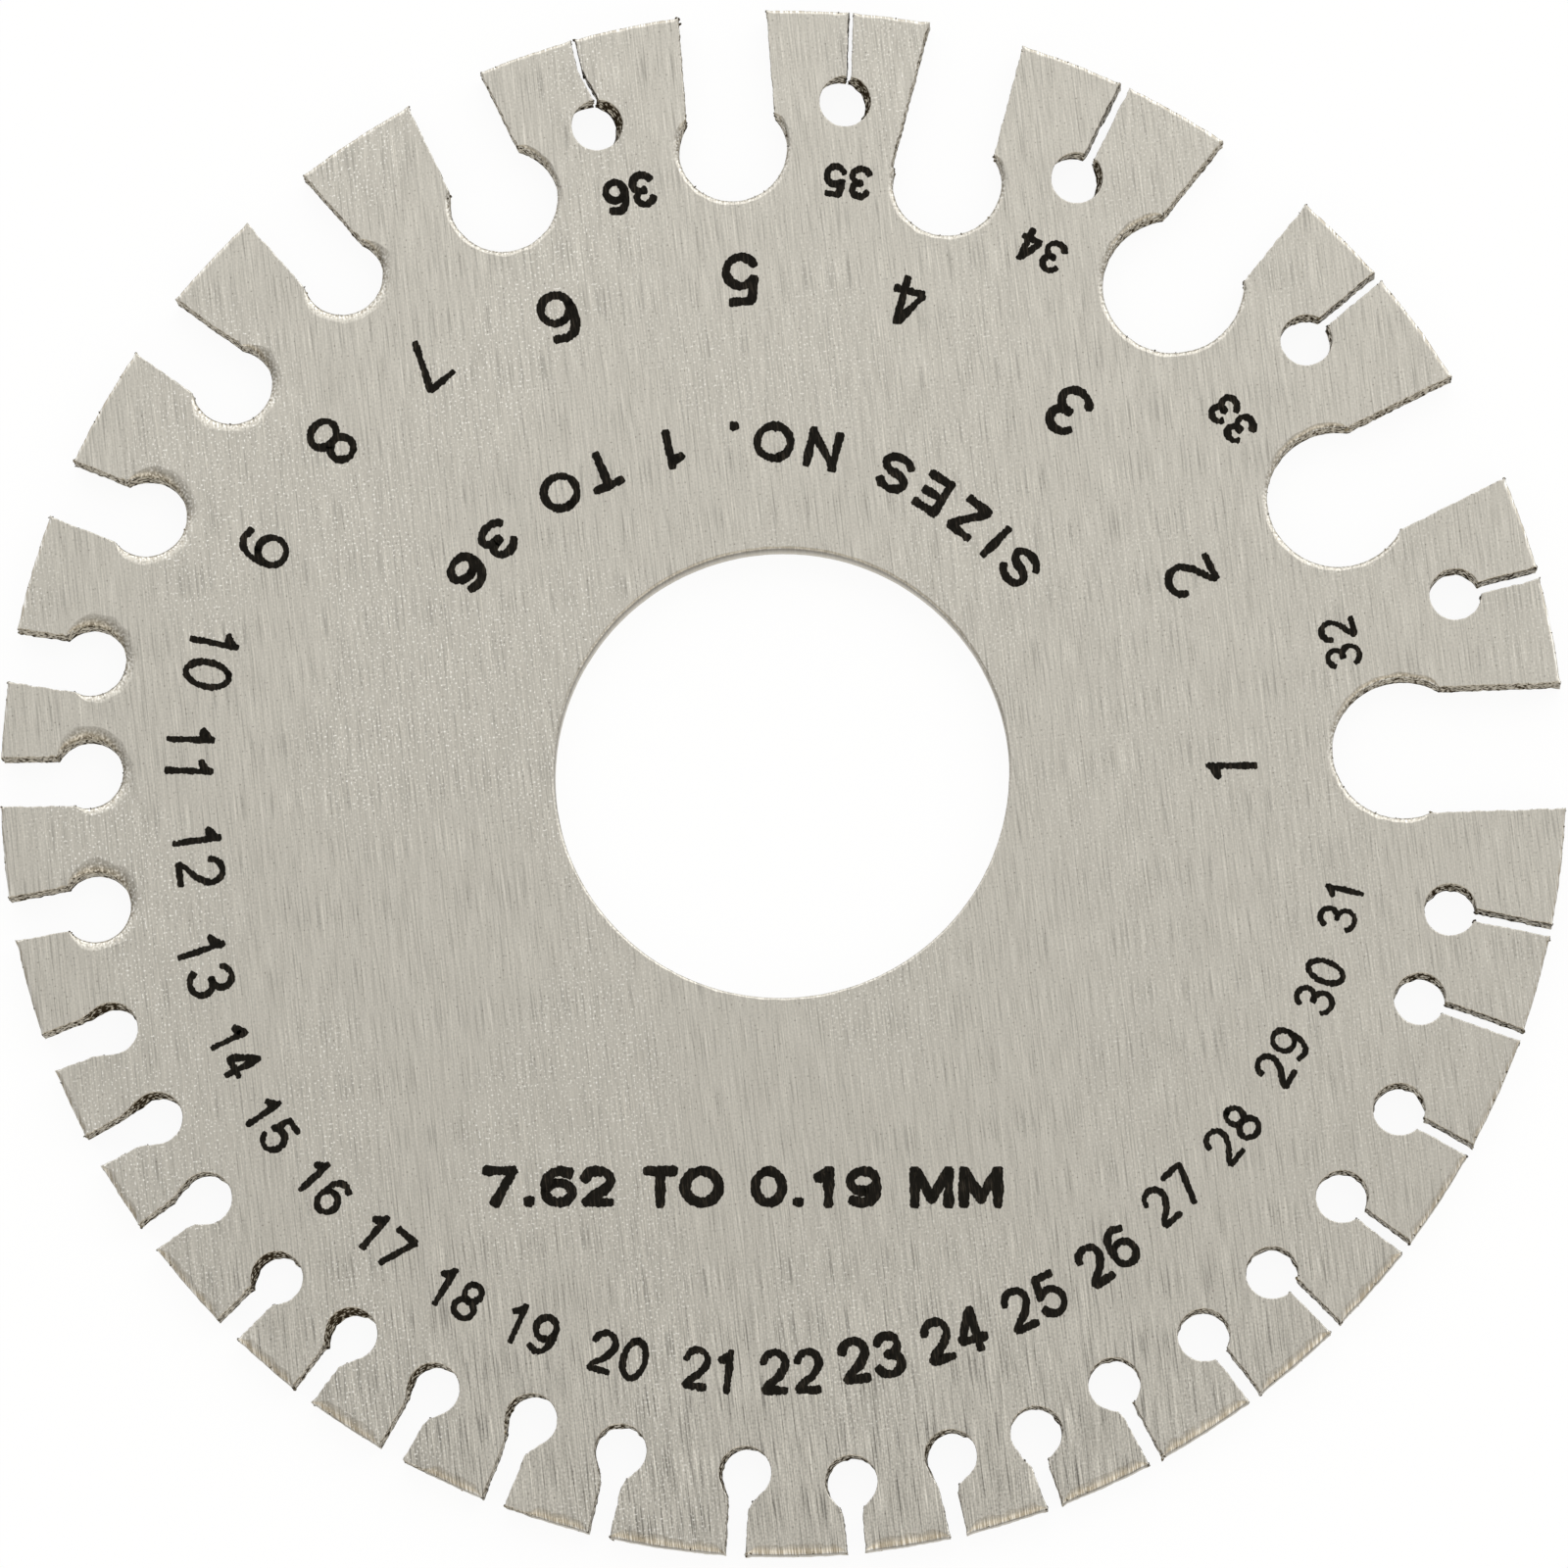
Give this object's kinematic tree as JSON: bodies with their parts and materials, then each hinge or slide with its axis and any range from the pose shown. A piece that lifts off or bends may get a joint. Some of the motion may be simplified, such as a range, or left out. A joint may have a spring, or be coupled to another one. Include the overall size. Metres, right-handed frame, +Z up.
{
  "type": "wire gauge plate",
  "caption": "Flat round stainless steel wire gauge plate with numbered keyhole slots of graded width round its rim and a finger hole in the middle.",
  "frame": {"origin": "centre of the finger hole, at the back face on which the plate lies", "axes": "+Z up out of the numbered face, +X towards slot 1, +Y towards slot 5"},
  "size_m": [0.0952, 0.0952, 0.002],
  "materials": {
    "plate": "fine straight brushing, lightly scratched, warm grey",
    "marking": "matt black etched marking"
  },
  "bodies": {
    "root": {"gauge_plate": "plate"}
  },
  "joints": []
}
